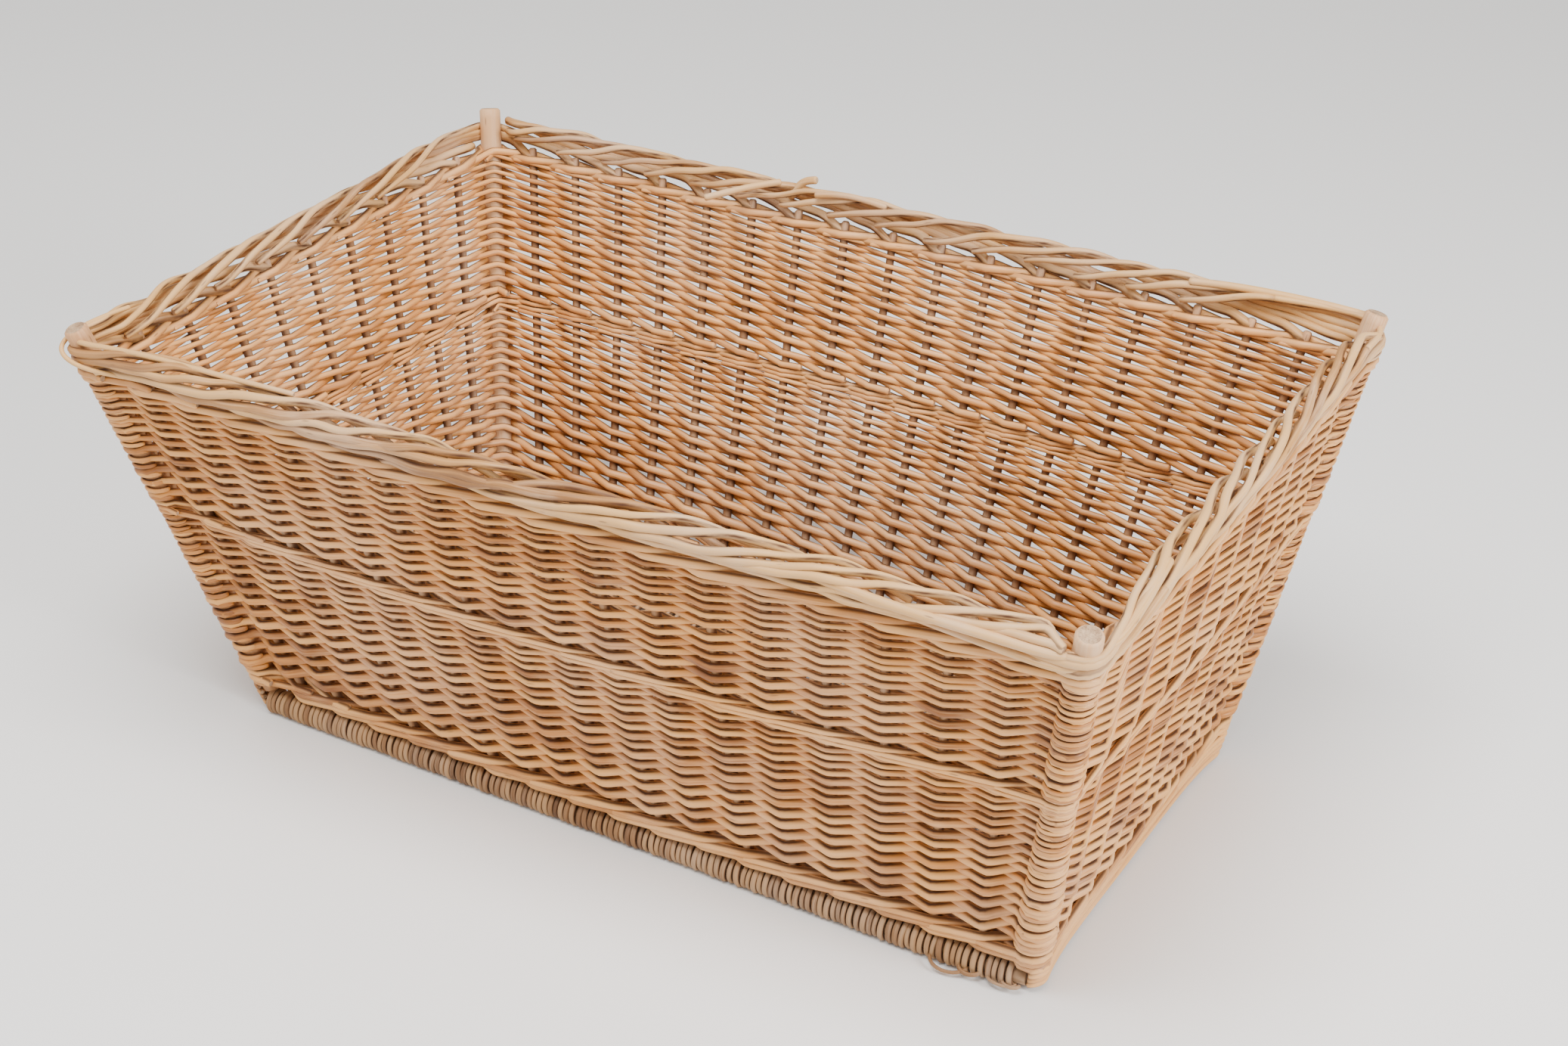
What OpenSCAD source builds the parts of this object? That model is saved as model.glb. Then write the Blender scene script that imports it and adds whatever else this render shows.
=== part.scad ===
// Rectangular log basket in woven willow, with sloping sides and an open top.
// Millimetres. The origin is on the floor under the middle of the basket, X runs along the
// long sides, Y across, and Z up. The front is at -Y and the right-hand end at +X.
//
// Each side is worked in its own flat frame: u runs along the side, s runs up the slope from
// the floor, and n points out of the basket. The four corner posts lie in these flat frames.
// A woven band is a closed slab with a channel for each upright rod that it is woven round.

/* [Overall] */
// Height of the tops of the corner posts above the floor
basket_h = 400; // [330:5:480]
// Distance between post axes along the basket, at the post tops
top_length = 885; // [740:5:1065]
// Distance between post axes across the basket, at the post tops
top_width = 560; // [465:5:675]
// Distance between post axes along the basket, at the floor
floor_length = 736; // [613:1:884]
// Distance between post axes across the basket, at the floor
floor_width = 340; // [283:1:408]

/* [Corner posts] */
// Diameter of a corner post
post_d = 20; // [16:0.5:24]
// Thickness of the rods that turn the corner round a post
corner_wrap_t = 6; // [4.5:0.5:8]
// Height of the post tops above the border
post_rise = 3; // [1:1:20]

/* [Stakes] */
// Diameter of the upright rods
stake_d = 8.5; // [6.5:0.5:10.5]
// Number of upright rods in a long side, without the posts
long_stakes = 17; // [11:1:21]
// Number of upright rods in a short side, without the posts
short_stakes = 9; // [6:1:12]
// Depth that a stake enters the border
stake_socket = 9; // [4:1:12]

/* [Woven bands] */
// Thickness of the wall where single rods are woven in and out
rand_t = 19; // [15:0.5:23]
// Thickness of the wall where three rods are twisted together
wale_t = 23; // [18:0.5:28]
// Height of the twisted band above the base
bottom_wale_h = 28; // [20:1:46]
// Height of the underside of the middle twisted band above the floor
mid_wale_z = 218; // [180:2:240]
// Height of the middle twisted band
mid_wale_h = 18; // [12:1:24]
// Height of the twisted band under the border
top_wale_h = 14; // [10:1:20]
// Height of the lowest rod above the floor, at the short sides
end_wale_lift = 5; // [3:0.5:8]

/* [Border] */
// Diameter of the roped border
border_d = 28; // [22:1:34]

/* [Base] */
// Diameter of the wrapped roll along the front and back edges of the base
roll_d = 24; // [20:1:30]
// Depth worn flat on the underside of each roll
roll_wear = 1; // [0.5:0.25:2]
// Diameter of the thick stick inside each roll
edge_stick_d = 13; // [10:0.5:15]
// Distance that each roll stands out from the middle of the wall above it
roll_out = 8; // [0:1:10]
// Length that an edge stick and its roll run past the post axes
roll_overrun = 2; // [1:1:14]
// Number of thinner sticks between the two edge sticks
inner_sticks = 6; // [4:1:8]
// Diameter of the thinner sticks
inner_stick_d = 9; // [7:0.5:11]
// Thickness of the woven base
mat_t = 18; // [15:0.5:22]

/* [Fits] */
// Gap round a rod in its channel
rod_gap = 0.25; // [0.1:0.05:0.6]
// Gap between two pieces that lie against each other
seat_gap = 0.2; // [0.1:0.05:0.5]

/* [Hidden] */
$fn = 48;

// The four sides in order, by the quarter turn that brings the front frame to each
FRONT = 0;
RIGHT = 1;
BACK = 2;
LEFT = 3;
// Radius of a post with the rods that turn round it
wrap_r = post_d / 2 + corner_wrap_t;
// Length that a cutting tool runs past the piece it cuts, enough for a tool that leans
over = wrap_r;

function is_long(side) = side % 2 == 0;
// Half the length of a side along its own u, at the floor and at the post tops
function half_floor(side) = (is_long(side) ? floor_length : floor_width) / 2;
function half_top(side) = (is_long(side) ? top_length : top_width) / 2;
// Distance of a side from the middle of the basket, at the floor and at the post tops
function depth_floor(side) = half_floor(side + 1);
function depth_top(side) = half_top(side + 1);
// Slope of a side away from upright
function lean(side) = atan((depth_top(side) - depth_floor(side)) / basket_h);
// Place up the slope of a side that is at height z
function slope_at(side, z) = z / cos(lean(side));
// Half the length of a side, and its distance from the middle, at height z
function half_at(side, z) = half_floor(side) + (half_top(side) - half_floor(side)) * z / basket_h;
function depth_at(side, z) = half_at(side + 1, z);
// Half the length of a side at place s up its slope
function half_up(side, s) = half_at(side, s * cos(lean(side)));

// Heights of the roll and the border, and the places where each band starts and ends
roll_z = roll_d / 2 - roll_wear;
roll_y = depth_at(FRONT, roll_z) + roll_out;
roll_top = roll_z + roll_d / 2;
border_z = basket_h - post_rise - border_d / 2;
// Place up the slope of a long side that is level with the roll's axis, square to the slope
roll_s = (roll_y - depth_floor(FRONT)) * sin(lean(FRONT)) + roll_z * cos(lean(FRONT));
function bottom_wale_from(side) =
    is_long(side) ? roll_s + roll_d / 2 + seat_gap : end_wale_lift;
function stake_from(side) = bottom_wale_from(side) + 2 * seat_gap;
function bottom_wale_to(side) = slope_at(side, roll_top + bottom_wale_h);
function mid_wale_from(side) = slope_at(side, mid_wale_z);
function mid_wale_to(side) = slope_at(side, mid_wale_z + mid_wale_h);
function top_wale_to(side) = slope_at(side, border_z) - border_d / 2 - seat_gap;
function top_wale_from(side) = top_wale_to(side) - top_wale_h;
function stakes_in(side) = is_long(side) ? long_stakes : short_stakes;
// The base stops short of the twisted bands at the short sides
mat_half_length = depth_at(RIGHT, 0) - (wale_t / 2) / cos(lean(RIGHT)) - seat_gap;

// Places its children, drawn in u, s and n, in the frame of a side
module in_side(side) {
    rotate([0, 0, 90 * side])
        translate([0, -depth_floor(side), 0])
            rotate([90 + lean(side), 0, 0])
                children();
}

// A round rod in the plane of a side, which fans outwards with the side as it rises.
// share is its place along the side, from -1 at one post axis to 1 at the other.
module upright(side, share, d, from, to) {
    u_from = share * half_up(side, from);
    u_to = share * half_up(side, to);
    fan = atan((u_to - u_from) / (to - from));
    translate([u_from, from, 0])
        rotate([-90, 0, -fan])
            cylinder(d = d, h = (to - from) / cos(fan));
}

// Every stake of a side, evenly spaced between the post axes
module all_stakes(side, d, from, to) {
    count = stakes_in(side);
    for (i = [1 : count])
        upright(side, 2 * i / (count + 1) - 1, d, from, to);
}

// The two cylinders round the post axes at the ends of a side
module both_ends(side, d, from, to) {
    for (share = [-1, 1])
        upright(side, share, d, from, to);
}

// A band of weaving on one side: a flat slab that widens with the side
module band(side, from, to, thick) {
    in_side(side)
        difference() {
            translate([0, 0, -thick / 2])
                linear_extrude(thick)
                    polygon([
                        [-half_up(side, from), from],
                        [half_up(side, from), from],
                        [half_up(side, to), to],
                        [-half_up(side, to), to]
                    ]);
            all_stakes(side, stake_d + 2 * rod_gap, from - over, to + over);
            both_ends(side, 2 * (wrap_r + seat_gap), from - over, to + over);
        }
}

// Everything between two heights, to cut a sloping post off level
module level_slab(from, to) {
    reach = top_length + top_width;
    translate([-reach / 2, -reach / 2, from])
        cube([reach, reach, to - from]);
}

// A cylinder on the axis of the post at the right-hand end of a side, cut level at both ends
module post_cylinder(side, d, from, to) {
    intersection() {
        in_side(side)
            upright(side, 1, d, slope_at(side, from) - 2 * d, slope_at(side, to) + 2 * d);
        level_slab(from, to);
    }
}

// A thick peeled stick at the right-hand end of a side, standing on the roll of the base
module post(side) {
    color("burlywood")
        post_cylinder(side, post_d, roll_top + seat_gap, basket_h);
}

// The rods of the bands where they turn the corner round a post, as a sleeve on the post
module corner_wraps(side) {
    color("peru")
        difference() {
            post_cylinder(side, 2 * wrap_r, roll_top + seat_gap, border_z - border_d / 2 - seat_gap);
            post_cylinder(side, post_d + 2 * rod_gap, roll_top - over, basket_h + over);
        }
}

// The upright rods of one side, from the base up into the border
module stakes(side) {
    color("tan")
        in_side(side)
            all_stakes(side, stake_d, stake_from(side),
                slope_at(side, border_z) - border_d / 2 + stake_socket);
}

module bottom_wale(side) {
    color("goldenrod")
        band(side, bottom_wale_from(side), bottom_wale_to(side), wale_t);
}

module lower_weave(side) {
    color("burlywood")
        band(side, bottom_wale_to(side) + seat_gap, mid_wale_from(side) - seat_gap, rand_t);
}

module middle_wale(side) {
    color("goldenrod")
        band(side, mid_wale_from(side), mid_wale_to(side), wale_t);
}

module upper_weave(side) {
    color("burlywood")
        band(side, mid_wale_to(side) + seat_gap, top_wale_from(side) - seat_gap, rand_t);
}

module top_wale(side) {
    color("goldenrod")
        band(side, top_wale_from(side), top_wale_to(side), wale_t);
}

// The roped border of one side, mitred at the posts, with a socket for each stake
module border(side) {
    u = half_at(side, border_z);
    depth = depth_at(side, border_z);
    wide = border_d / 2 + over;
    color("wheat")
        difference() {
            rotate([0, 0, 90 * side])
                intersection() {
                    translate([-u - wide, -depth, border_z])
                        rotate([0, 90, 0])
                            cylinder(d = border_d, h = 2 * (u + wide));
                    translate([0, 0, border_z - border_d])
                        linear_extrude(2 * border_d)
                            polygon([
                                [-u - wide + seat_gap, -depth - wide],
                                [u + wide - seat_gap, -depth - wide],
                                [u - wide - seat_gap, -depth + wide],
                                [-u + wide + seat_gap, -depth + wide]
                            ]);
                }
            in_side(side)
                all_stakes(side, stake_d + 2 * rod_gap, slope_at(side, border_z) - border_d,
                    slope_at(side, border_z) - border_d / 2 + stake_socket + rod_gap);
            for (end = [side, side + 3])
                post_cylinder(end, post_d + 2 * rod_gap, border_z - border_d, basket_h + over);
        }
}

// A stick that runs the length of the base at distance y from the middle
module long_stick(y, d, half_length) {
    translate([-half_length, y, roll_z])
        rotate([0, 90, 0])
            cylinder(d = d, h = 2 * half_length);
}

// The thick stick along the front or back edge of the base, where way is -1 or 1
module base_edge_stick(way) {
    color("sienna")
        long_stick(way * roll_y, edge_stick_d, half_at(FRONT, roll_z) + roll_overrun);
}

// The rods of the base where they turn round an edge stick, as a sleeve worn flat underneath
module base_roll(way) {
    half_length = half_at(FRONT, roll_z) + roll_overrun - seat_gap;
    color("rosybrown")
        intersection() {
            difference() {
                long_stick(way * roll_y, roll_d, half_length);
                long_stick(way * roll_y, edge_stick_d + 2 * rod_gap, half_length + over);
            }
            level_slab(0, basket_h);
        }
}

// The thinner sticks between the edge sticks, evenly spaced
module inner_stick_row(d, half_length) {
    pitch = 2 * roll_y / (inner_sticks + 1);
    for (i = [1 : inner_sticks])
        long_stick(-roll_y + i * pitch, d, half_length);
}

module base_inner_sticks() {
    color("sienna")
        inner_stick_row(inner_stick_d, mat_half_length);
}

// The rods woven across the base, over and under the sticks, as one mat
module base_weave() {
    half_width = roll_y - roll_d / 2 - seat_gap;
    color("rosybrown")
        difference() {
            translate([-mat_half_length, -half_width, roll_z - mat_t / 2])
                cube([2 * mat_half_length, 2 * half_width, mat_t]);
            inner_stick_row(inner_stick_d + 2 * rod_gap, mat_half_length + over);
        }
}

post(LEFT);  // post_front_left
post(FRONT);  // post_front_right
post(RIGHT);  // post_back_right
post(BACK);  // post_back_left
corner_wraps(LEFT);  // corner_wraps_front_left
corner_wraps(FRONT);  // corner_wraps_front_right
corner_wraps(RIGHT);  // corner_wraps_back_right
corner_wraps(BACK);  // corner_wraps_back_left
stakes(FRONT);  // stakes_front
stakes(RIGHT);  // stakes_right
stakes(BACK);  // stakes_back
stakes(LEFT);  // stakes_left
bottom_wale(FRONT);  // bottom_wale_front
bottom_wale(RIGHT);  // bottom_wale_right
bottom_wale(BACK);  // bottom_wale_back
bottom_wale(LEFT);  // bottom_wale_left
lower_weave(FRONT);  // lower_weave_front
lower_weave(RIGHT);  // lower_weave_right
lower_weave(BACK);  // lower_weave_back
lower_weave(LEFT);  // lower_weave_left
middle_wale(FRONT);  // middle_wale_front
middle_wale(RIGHT);  // middle_wale_right
middle_wale(BACK);  // middle_wale_back
middle_wale(LEFT);  // middle_wale_left
upper_weave(FRONT);  // upper_weave_front
upper_weave(RIGHT);  // upper_weave_right
upper_weave(BACK);  // upper_weave_back
upper_weave(LEFT);  // upper_weave_left
top_wale(FRONT);  // top_wale_front
top_wale(RIGHT);  // top_wale_right
top_wale(BACK);  // top_wale_back
top_wale(LEFT);  // top_wale_left
border(FRONT);  // border_front
border(RIGHT);  // border_right
border(BACK);  // border_back
border(LEFT);  // border_left
base_edge_stick(-1);  // base_edge_stick_front
base_edge_stick(1);  // base_edge_stick_back
base_inner_sticks();
base_weave();
base_roll(-1);  // base_roll_front
base_roll(1);  // base_roll_back
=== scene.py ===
"""A rectangular log basket woven from willow rods, built rod by rod round its CAD frame.

Every rod is a round tube carried along a path. Paths are worked out in the basket's own terms:
t counts the uprights round the basket from the front left post, z is the height above the
floor, and n is the distance out of the wall's middle plane. wall_point() turns them into metres.
"""
import bpy
import numpy as np
from mathutils import Matrix, Vector


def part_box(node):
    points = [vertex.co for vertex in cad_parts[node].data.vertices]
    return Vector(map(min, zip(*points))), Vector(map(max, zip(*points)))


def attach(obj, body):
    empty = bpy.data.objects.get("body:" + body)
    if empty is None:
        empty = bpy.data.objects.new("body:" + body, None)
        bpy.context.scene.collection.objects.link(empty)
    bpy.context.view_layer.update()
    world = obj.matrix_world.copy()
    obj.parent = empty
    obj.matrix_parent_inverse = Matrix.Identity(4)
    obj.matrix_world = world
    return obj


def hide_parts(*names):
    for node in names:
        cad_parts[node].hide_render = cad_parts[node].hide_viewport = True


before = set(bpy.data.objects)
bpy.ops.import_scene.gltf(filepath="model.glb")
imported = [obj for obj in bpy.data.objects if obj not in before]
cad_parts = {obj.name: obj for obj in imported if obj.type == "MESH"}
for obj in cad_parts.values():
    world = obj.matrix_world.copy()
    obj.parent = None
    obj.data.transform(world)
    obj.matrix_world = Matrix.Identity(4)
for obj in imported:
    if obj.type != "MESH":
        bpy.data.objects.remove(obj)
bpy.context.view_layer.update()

MM = 0.001
TAU = 2 * np.pi
UP = np.array([0.0, 0.0, 1.0])
# points this close together in height or depth are on one flat face
FLAT = 0.1 * MM

# ---------------------------------------------------------------- the basket's own measures
SIDES = ("front", "right", "back", "left")
CORNERS = ("front_left", "front_right", "back_right", "back_left")
# spaces between uprights on each side: one more than its stakes
GAPS = np.array([18, 10, 18, 10])
# the posts' places in the count of uprights, with the first post again at the end
POST_AT = np.concatenate([[0], np.cumsum(GAPS)])
ROUND = int(POST_AT[-1])
STAKE_FOOT_R = 4.2 * MM
STAKE_TOP_R = 3.8 * MM
# a post's stick as a share of its CAD node's radius, which leaves room for its unevenness
POST_SHARE = 0.975
# how near to an upright a rod is pulled, as a share of the distance at which they just touch
PULL = 0.87
# how far the middle of each wall bows out, at half height and at the border
BOW_MIDDLE = np.array([11, 6, 9, 6]) * MM
BOW_TOP = np.array([5, 2, 3, 2]) * MM


def generator(seed):
    """Random numbers that come out the same on every run."""
    return np.random.default_rng(seed)


def node_points(node):
    """The corner points of a CAD node, as rows of x, y, z."""
    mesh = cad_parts[node].data
    flat = np.empty(len(mesh.vertices) * 3)
    mesh.vertices.foreach_get("co", flat)
    return flat.reshape(-1, 3)


def level_rim(node, top):
    """Lowest and highest corner of the level face at the top or the foot of a post."""
    points = node_points(node)
    edge = points[:, 2].max() if top else points[:, 2].min()
    rim = points[np.abs(points[:, 2] - edge) < FLAT]
    return rim.min(0), rim.max(0)


def level_centre(node, top):
    """Centre of the level face at the top or the foot of a post."""
    low, high = level_rim(node, top)
    return (low + high) / 2


POST_HEADS = np.array([level_centre("post_" + corner, True) for corner in CORNERS])
POST_FEET = np.array([level_centre("post_" + corner, False) for corner in CORNERS])
BASKET_H = POST_HEADS[0, 2]
FOOT_Z = POST_FEET[0, 2]
head_low, head_high = level_rim("post_front_left", True)
# a level cut across a leaning post is longest the way it leans, and as wide as the post across
POST_R = (head_high - head_low)[:2].min() / 2 * POST_SHARE


def unit(v):
    """v scaled to length one along its last axis."""
    return v / np.maximum(np.linalg.norm(v, axis=-1, keepdims=True), 1e-12)


# the outward normal of each side: along the side crossed with up its posts
SIDE_NORMALS = unit(np.cross(np.roll(POST_FEET, -1, 0) - POST_FEET, POST_HEADS - POST_FEET))


def post_axis(post, z):
    """Point of a post's axis at height z: a straight line from foot to head."""
    share = (z - FOOT_Z) / (BASKET_H - FOOT_Z)
    return POST_FEET[post] + (POST_HEADS[post] - POST_FEET[post]) * share[..., None]


def side_and_share(t):
    """Which side t is on, and how far along it, from 0 at one post to 1 at the next."""
    t = np.mod(t, ROUND)
    side = np.clip(np.searchsorted(POST_AT, t, side="right") - 1, 0, 3)
    return side, (t - POST_AT[side]) / GAPS[side]


def post_offset(t):
    """The nearest post to t, and the signed distance from it in uprights."""
    away = t[..., None] - POST_AT
    away = away - ROUND * np.round(away / ROUND)
    nearest = np.argmin(np.abs(away), axis=-1)
    offset = np.take_along_axis(away, nearest[..., None], -1)[..., 0]
    return nearest % 4, offset


def wall_normal(t):
    """Outward normal of the wall. Within half a space of a post it turns evenly from one
    side's normal to the next side's, so that it points along the diagonal at the post."""
    side, _ = side_and_share(t)
    post, offset = post_offset(t)
    turn = np.clip(0.5 + offset, 0, 1)[..., None]
    turned = unit(SIDE_NORMALS[post - 1] * (1 - turn) + SIDE_NORMALS[post] * turn)
    near = (np.abs(offset) < 0.5)[..., None]
    return np.where(near, turned, SIDE_NORMALS[side])


def bow(t, z):
    """How far the wall bows out: a half sine along the side times a half sine up it, with a
    smaller share that grows with the square of the height and carries the border."""
    side, share = side_and_share(t)
    up = np.clip(z / BASKET_H, 0, 1)
    return np.sin(np.pi * share) * (BOW_MIDDLE[side] * np.sin(np.pi * up) + BOW_TOP[side] * up ** 2)


def wall_point(t, z, n):
    """Point at count t and height z on the wall's middle plane, moved out by n and the bow."""
    t, z, n = np.broadcast_arrays(t, z, n)
    side, share = side_and_share(t)
    share = share[..., None]
    start = post_axis(side, z)
    end = post_axis((side + 1) % 4, z)
    return start * (1 - share) + end * share + wall_normal(t) * (n + bow(t, z))[..., None]


def upright_r(t, z):
    """Radius of the upright nearest to t: a post's at a corner, and a tapering stake's."""
    _, offset = post_offset(t)
    stake = STAKE_FOOT_R + (STAKE_TOP_R - STAKE_FOOT_R) * z / BASKET_H
    return np.where(np.abs(offset) < 0.5, POST_R, stake)


def clear_uprights(points, t, r):
    """Moves points of a rod of radius r level and straight away from the nearest upright
    until the rod lies against it."""
    upright = np.round(t)
    z = points[..., 2]
    away = points - wall_point(upright, z, np.zeros_like(z))
    away[..., 2] = 0
    reach = np.linalg.norm(away, axis=-1)
    least = (upright_r(upright, z) + r) * PULL
    return points + away * (np.maximum(least / np.maximum(reach, 1e-9), 1) - 1)[..., None]


# shares of the way from one upright to the next where a rod has a ring, closer by the bends
STEPS = np.array([0, 0.1, 0.2, 0.35, 0.5, 0.65, 0.8, 0.9])


def spread(values):
    """Values given at each upright, in straight steps from one upright to the next."""
    steps = STEPS.reshape((1, 1, -1) + (1,) * (values.ndim - 2))
    here = values[:, :-1, None]
    between = here + (values[:, 1:, None] - here) * steps
    between = between.reshape((len(values), -1) + values.shape[2:])
    return np.concatenate([between, values[:, -1:]], axis=1)


def eased(paths, passes=1):
    """Each inner point of a path moved half way to the middle of its two neighbours."""
    for _ in range(passes):
        inner = (paths[:, :-2] + 2 * paths[:, 1:-1] + paths[:, 2:]) / 4
        paths = np.concatenate([paths[:, :1], inner, paths[:, -1:]], axis=1)
    return paths


def woven(t, z, n, r):
    """The path of a rod that is given at each upright it passes: straight from one to the
    next, eased at the bends and laid against the uprights. Returns the path with t, n, r."""
    path = eased(spread(wall_point(t, z, n)))
    t, n, r = spread(t), spread(n), spread(r)
    return clear_uprights(path, t, r), t, n, r


def wander(random, rods, along, size, waves=(0.11, 0.29, 0.53)):
    """A slow uneven drift of each rod: three sines of along with random phases."""
    total = np.zeros(np.broadcast_shapes((rods, 1), along.shape))
    for wave in waves:
        phase = random.uniform(0, TAU, (rods, 1))
        pace = wave * random.uniform(0.7, 1.3, (rods, 1))
        total = total + np.sin(along * pace * TAU + phase)
    return total * size / len(waves)


# ---------------------------------------------------------------- rods as meshes
# metres by which the grain of each rod in a bundle is moved on from the one before it, and
# metres for each rod that the whole bundle has, so that no two rods have the same grain
ROD_SHIFT = 7.3
BUNDLE_SHIFT = 0.37


def rods_of(paths, radii, refs, tones, outer, proud, open_way=None, sides=8, bevel=0.35, gape=1):
    """Round rods along paths (rods x samples x 3). A ring is centre + r (cos a across + sin a
    up), with across = along x ref. The value that darkens the skin with painted shade and
    dirt is 1 - proud (1 - gape (1 - |spoke . open_way| ^ 0.7)): low on skin that faces the
    open, and high, as painted shade, on skin that faces other rods where there is a gape
    between them."""
    rods, samples, _ = paths.shape
    full = (rods, samples)
    radii = np.broadcast_to(radii, full)
    tangent = unit(np.gradient(paths, axis=1))
    across = unit(np.cross(tangent, refs))
    up = np.cross(across, tangent)
    angle = np.arange(sides) * TAU / sides
    spoke = np.cos(angle)[:, None] * across[:, :, None] + np.sin(angle)[:, None] * up[:, :, None]
    facing = np.ones(spoke.shape[:3])
    if open_way is not None:
        facing = np.abs((spoke * open_way[:, :, None]).sum(-1)) ** 0.7
    open_skin = 1 - np.broadcast_to(gape, full)[:, :, None] * (1 - facing)
    # painted shade and dirt, high where the skin faces other rods across a gape
    hollow_shade_and_dirt = 1 - np.broadcast_to(proud, full)[:, :, None] * open_skin
    # one more, smaller ring at each end rounds off the cut
    ends = [0] + list(range(samples)) + [samples - 1]
    centres = paths[:, ends]
    shrink = np.ones(samples + 2)
    shrink[[0, -1]] = 1 - bevel
    push = np.zeros(samples + 2)
    push[[0, -1]] = -bevel, bevel
    radii, tangent = radii[:, ends], tangent[:, ends]
    centres = centres + tangent * (push * radii)[..., None]
    rings = centres[:, :, None] + spoke[:, ends] * (radii * shrink)[:, :, None, None]
    length = np.linalg.norm(np.diff(centres, axis=1), axis=-1)
    along = np.concatenate([np.zeros((rods, 1)), np.cumsum(length, axis=1)], axis=1)
    grain = np.stack(np.broadcast_arrays(
        along[:, :, None] + ROD_SHIFT * np.arange(rods)[:, None, None] + rods * BUNDLE_SHIFT,
        np.cos(angle) * radii[:, :, None],
        np.sin(angle) * radii[:, :, None],
    ), axis=-1)
    values = {"grain": grain.reshape(-1, 3), "hollow_shade_and_dirt": hollow_shade_and_dirt[:, ends].ravel()}
    for title, value in (("tone", tones), ("outer", outer)):
        value = np.broadcast_to(value, full)[:, ends, None]
        values[title] = np.broadcast_to(value, grain.shape[:3]).ravel()
    index = np.arange(rods * (samples + 2) * sides).reshape(rods, samples + 2, sides)
    near, far = index[:, :-1], index[:, 1:]
    quads = np.stack([near, far, np.roll(far, -1, 2), np.roll(near, -1, 2)], axis=-1)
    caps = np.concatenate([index[:, 0], index[:, -1, ::-1]])
    return rings.reshape(-1, 3), quads.reshape(-1, 4), caps, values


def make_piece(name, bundles, skin, slot, *nodes):
    """One piece from bundles of rods, set on the frame in the CAD nodes' stead. Skin is
    smooth with the first finish, and cut ends are flat with the second."""
    points, loops, starts, cut = [], [], [], []
    values = {"grain": [], "hollow_shade_and_dirt": [], "tone": [], "outer": []}
    shift, turn = 0, 0
    for rings, quads, caps, own in bundles:
        points.append(rings)
        for faces, is_cap in ((quads, False), (caps, True)):
            loops.append(faces.ravel() + shift)
            starts.append(np.arange(len(faces)) * faces.shape[1] + turn)
            cut.append(np.full(len(faces), is_cap))
            turn += faces.size
        for title in values:
            values[title].append(own[title])
        shift += len(rings)
    points, loops = np.concatenate(points), np.concatenate(loops)
    starts, cut = np.concatenate(starts), np.concatenate(cut)
    mesh = bpy.data.meshes.new(name)
    mesh.vertices.add(len(points))
    mesh.vertices.foreach_set("co", points.astype(np.float32).ravel())
    mesh.loops.add(len(loops))
    mesh.loops.foreach_set("vertex_index", loops.astype(np.int32))
    mesh.polygons.add(len(starts))
    mesh.polygons.foreach_set("loop_start", starts.astype(np.int32))
    mesh.update(calc_edges=True)
    mesh.polygons.foreach_set("use_smooth", ~cut)
    mesh.polygons.foreach_set("material_index", cut.astype(np.int32))
    for title in ("hollow_shade_and_dirt", "tone", "outer"):
        layer = mesh.attributes.new(title, "FLOAT", "POINT")
        layer.data.foreach_set("value", np.concatenate(values[title]).astype(np.float32))
    layer = mesh.attributes.new("grain", "FLOAT_VECTOR", "POINT")
    layer.data.foreach_set("vector", np.concatenate(values["grain"]).astype(np.float32).ravel())
    mesh.validate()
    piece = bpy.data.objects.new(name, mesh)
    bpy.context.scene.collection.objects.link(piece)
    mesh.materials.append(skin)
    mesh.materials.append(CUT_END)
    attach(piece, "root")
    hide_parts(*nodes)


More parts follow.
